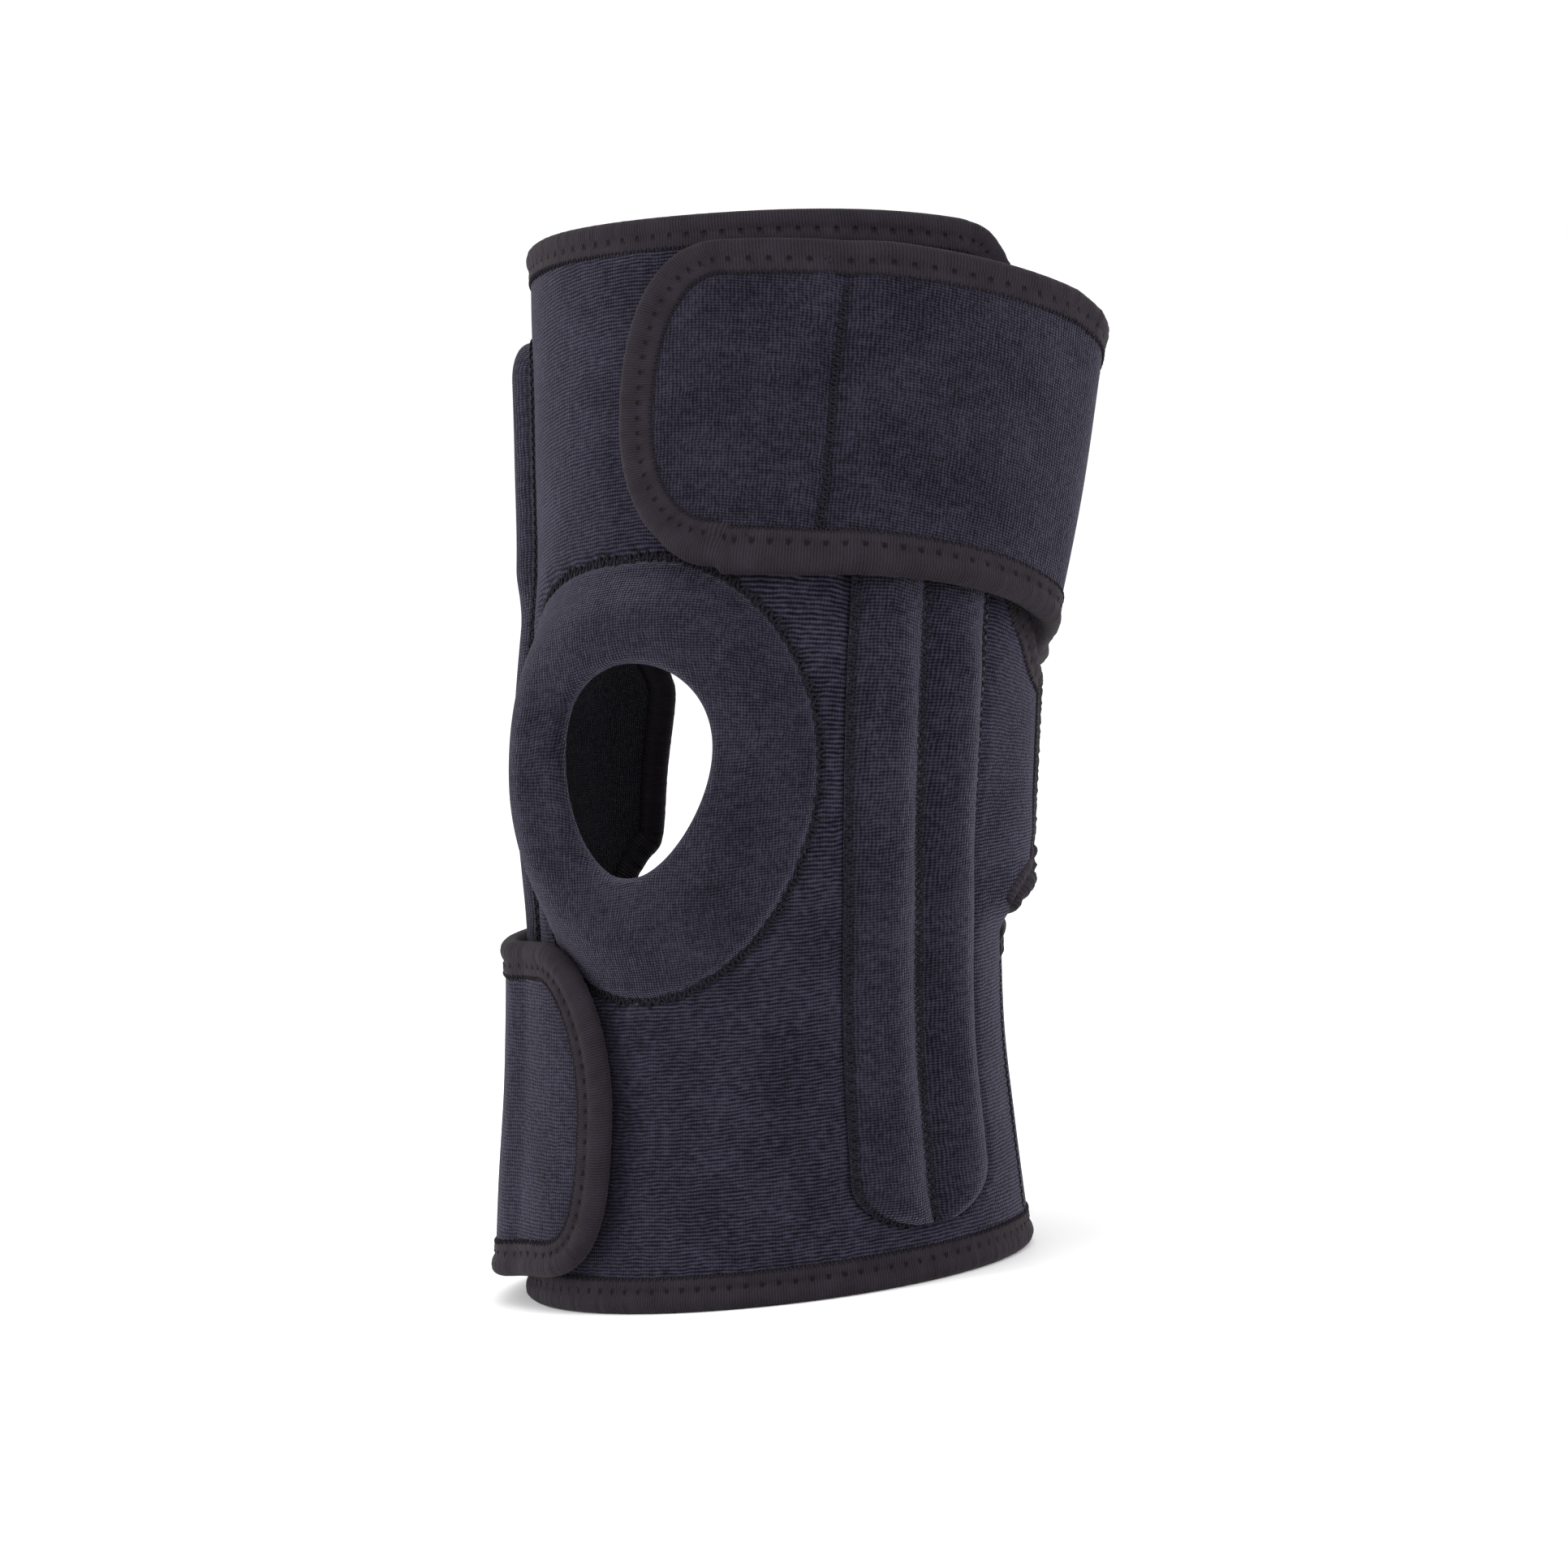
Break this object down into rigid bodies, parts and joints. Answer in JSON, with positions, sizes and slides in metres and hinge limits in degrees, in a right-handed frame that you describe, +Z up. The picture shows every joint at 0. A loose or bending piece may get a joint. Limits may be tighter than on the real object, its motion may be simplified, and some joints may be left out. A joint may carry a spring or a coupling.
{
  "type": "knee brace",
  "caption": "Open-patella knee brace: a knitted neoprene wrap with padded kneecap opening, spring stays in side pockets and two wide straps that close at the front.",
  "frame": {"origin": "centre of the bounding box, at the level of the bottom rim", "axes": "+Z up along the shank, -Y towards the kneecap, +X towards the outer side of a left knee"},
  "size_m": [0.1698, 0.1802, 0.2676],
  "materials": {
    "neoprene_knit": "matte ribbed knit over neoprene foam",
    "patch_knit": "matte fine knit, padded",
    "binding_tape": "matte woven binding tape",
    "hook_tape": "moulded nylon hooks",
    "ring_foam": "closed-cell foam",
    "spring_steel": "bright spring wire",
    "cap_steel": "crimped sheet steel"
  },
  "bodies": {
    "shank": {"shank_panel": "neoprene_knit", "shank_panel_binding": "binding_tape", "outer_wing_binding": "binding_tape", "calf_wing": "neoprene_knit", "calf_wing_lower_binding": "binding_tape", "calf_wing_upper_binding": "binding_tape", "lateral_front_stay_lower_cap": "cap_steel", "lateral_rear_stay_lower_cap": "cap_steel", "medial_front_stay_lower_cap": "cap_steel", "medial_rear_stay_lower_cap": "cap_steel"},
    "thigh": {"thigh_panel": "neoprene_knit", "thigh_panel_binding": "binding_tape", "inner_wing_binding": "binding_tape", "thigh_wing": "neoprene_knit", "thigh_wing_lower_binding": "binding_tape", "thigh_wing_upper_binding": "binding_tape", "lateral_knee_panel": "neoprene_knit", "medial_knee_panel": "neoprene_knit", "patella_patch": "patch_knit", "patella_ring": "ring_foam", "lateral_stay_pocket": "neoprene_knit", "medial_stay_pocket": "neoprene_knit", "lateral_front_stay": "spring_steel", "lateral_rear_stay": "spring_steel", "medial_front_stay": "spring_steel", "medial_rear_stay": "spring_steel", "lateral_front_stay_upper_cap": "cap_steel", "lateral_rear_stay_upper_cap": "cap_steel", "medial_front_stay_upper_cap": "cap_steel", "medial_rear_stay_upper_cap": "cap_steel"},
    "thigh_strap": {"thigh_strap": "neoprene_knit", "thigh_strap_binding": "binding_tape", "thigh_hook_sheet": "hook_tape"},
    "calf_strap": {"calf_strap": "neoprene_knit", "calf_strap_binding": "binding_tape", "calf_hook_sheet": "hook_tape"}
  },
  "joints": [
    {"name": "knee_flex", "type": "hinge", "parent": "shank", "child": "thigh", "pos_m": [0, -0.01925, 0.12984], "axis": [-1, 0, 0], "range_deg": [-20, 40], "stiffness_Nm_per_rad": 1.5, "deforming": ["lateral_knee_panel", "medial_knee_panel", "patella_patch", "patella_ring", "lateral_stay_pocket", "medial_stay_pocket", "lateral_front_stay", "lateral_rear_stay", "medial_front_stay", "medial_rear_stay"]},
    {"name": "thigh_strap_open", "type": "hinge", "parent": "thigh", "child": "thigh_strap", "pos_m": [0.06515, 0.03384, 0.18237], "axis": [0.065, 0.4247, 0.903], "range_deg": [0, 110]},
    {"name": "calf_strap_open", "type": "hinge", "parent": "shank", "child": "calf_strap", "pos_m": [-0.05876, 0.01294, 0.045], "axis": [-0.1503, 0.032, -0.9881], "range_deg": [0, 110]}
  ]
}
